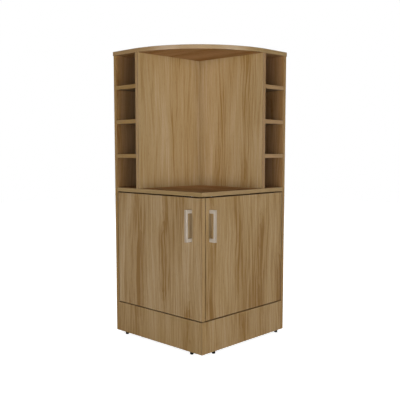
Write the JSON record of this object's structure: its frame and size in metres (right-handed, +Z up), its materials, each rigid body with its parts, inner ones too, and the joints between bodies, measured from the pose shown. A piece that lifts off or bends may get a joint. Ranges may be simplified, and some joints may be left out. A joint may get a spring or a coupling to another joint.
{
  "type": "corner bar cabinet",
  "caption": "Corner bar cabinet in wood laminate: doors meeting at the front corner, a counter in an open recess, cubby columns and a rounded top board.",
  "frame": {"origin": "middle of the overall box, on the floor under the glides", "axes": "+Z up; the left door faces -Y and the right door faces +X, so the front corner is at +X -Y and the two wall faces are at -X and +Y"},
  "size_m": [0.639, 0.639, 1.4],
  "materials": {
    "oak_laminate": "satin wood-grain laminate",
    "satin_nickel": "satin",
    "nickel_steel": "nickel plated",
    "zinc_steel": "zinc plated",
    "black_plastic": "moulded, matte",
    "beech": "plain turned"
  },
  "bodies": {
    "root": {"left_side_panel": "oak_laminate", "right_side_panel": "oak_laminate", "bottom_board": "oak_laminate", "left_plinth": "oak_laminate", "right_plinth": "oak_laminate", "counter_board": "oak_laminate", "left_recess_wall": "oak_laminate", "right_recess_wall": "oak_laminate", "right_cubby_back": "oak_laminate", "top_board": "oak_laminate", "left_cubby_shelf_1": "oak_laminate", "left_cubby_shelf_2": "oak_laminate", "left_cubby_shelf_3": "oak_laminate", "right_cubby_shelf_1": "oak_laminate", "right_cubby_shelf_2": "oak_laminate", "right_cubby_shelf_3": "oak_laminate", "left_plinth_glide_1": "black_plastic", "left_plinth_glide_2": "black_plastic", "left_panel_glide_1": "black_plastic", "left_panel_glide_2": "black_plastic", "right_plinth_glide_1": "black_plastic", "right_plinth_glide_2": "black_plastic", "right_panel_glide_1": "black_plastic", "right_panel_glide_2": "black_plastic", "left_panel_screws": "zinc_steel", "right_panel_screws": "zinc_steel", "top_screws": "zinc_steel", "recess_wall_screws": "zinc_steel", "fitting_screws": "zinc_steel", "dowels": "beech", "left_magnetic_catch": "black_plastic", "left_plate_screws": "zinc_steel", "left_lower_hinge_arm": "nickel_steel", "left_lower_hinge_plate": "nickel_steel", "left_upper_hinge_arm": "nickel_steel", "left_upper_hinge_plate": "nickel_steel", "right_magnetic_catch": "black_plastic", "right_plate_screws": "zinc_steel", "right_lower_hinge_arm": "nickel_steel", "right_lower_hinge_plate": "nickel_steel", "right_upper_hinge_arm": "nickel_steel", "right_upper_hinge_plate": "nickel_steel"},
    "left_door": {"left_door": "oak_laminate", "left_handle": "satin_nickel", "left_handle_screws": "zinc_steel", "left_cup_screws": "zinc_steel", "left_strike_plate": "zinc_steel", "left_lower_hinge_cup": "nickel_steel", "left_upper_hinge_cup": "nickel_steel"},
    "left_hinge_links": {"left_lower_hinge_link": "nickel_steel", "left_upper_hinge_link": "nickel_steel"},
    "right_door": {"right_door": "oak_laminate", "right_handle": "satin_nickel", "right_handle_screws": "zinc_steel", "right_cup_screws": "zinc_steel", "right_strike_plate": "zinc_steel", "right_lower_hinge_cup": "nickel_steel", "right_upper_hinge_cup": "nickel_steel"},
    "right_hinge_links": {"right_lower_hinge_link": "nickel_steel", "right_upper_hinge_link": "nickel_steel"}
  },
  "joints": [
    {"name": "left_door_swing", "type": "hinge", "parent": "root", "child": "left_door", "pos_m": [-0.2855, -0.2781, 0.43875], "axis": [0, 0, -1], "range_deg": [0, 100]},
    {"name": "right_door_swing", "type": "hinge", "parent": "root", "child": "right_door", "pos_m": [0.2781, 0.2855, 0.43875], "axis": [0, 0, 1], "range_deg": [0, 100]},
    {"name": "left_link_turn", "type": "hinge", "parent": "left_door", "child": "left_hinge_links", "pos_m": [-0.2838, -0.27, 0.43875], "axis": [0, 0, 1], "range_deg": [0, 120]},
    {"name": "right_link_turn", "type": "hinge", "parent": "right_door", "child": "right_hinge_links", "pos_m": [0.27, 0.2838, 0.43875], "axis": [0, 0, -1], "range_deg": [0, 120]}
  ],
  "couplings": [
    {"joint": "left_link_turn", "follows": "left_door_swing", "ratio": 1.2},
    {"joint": "right_link_turn", "follows": "right_door_swing", "ratio": 1.2}
  ]
}
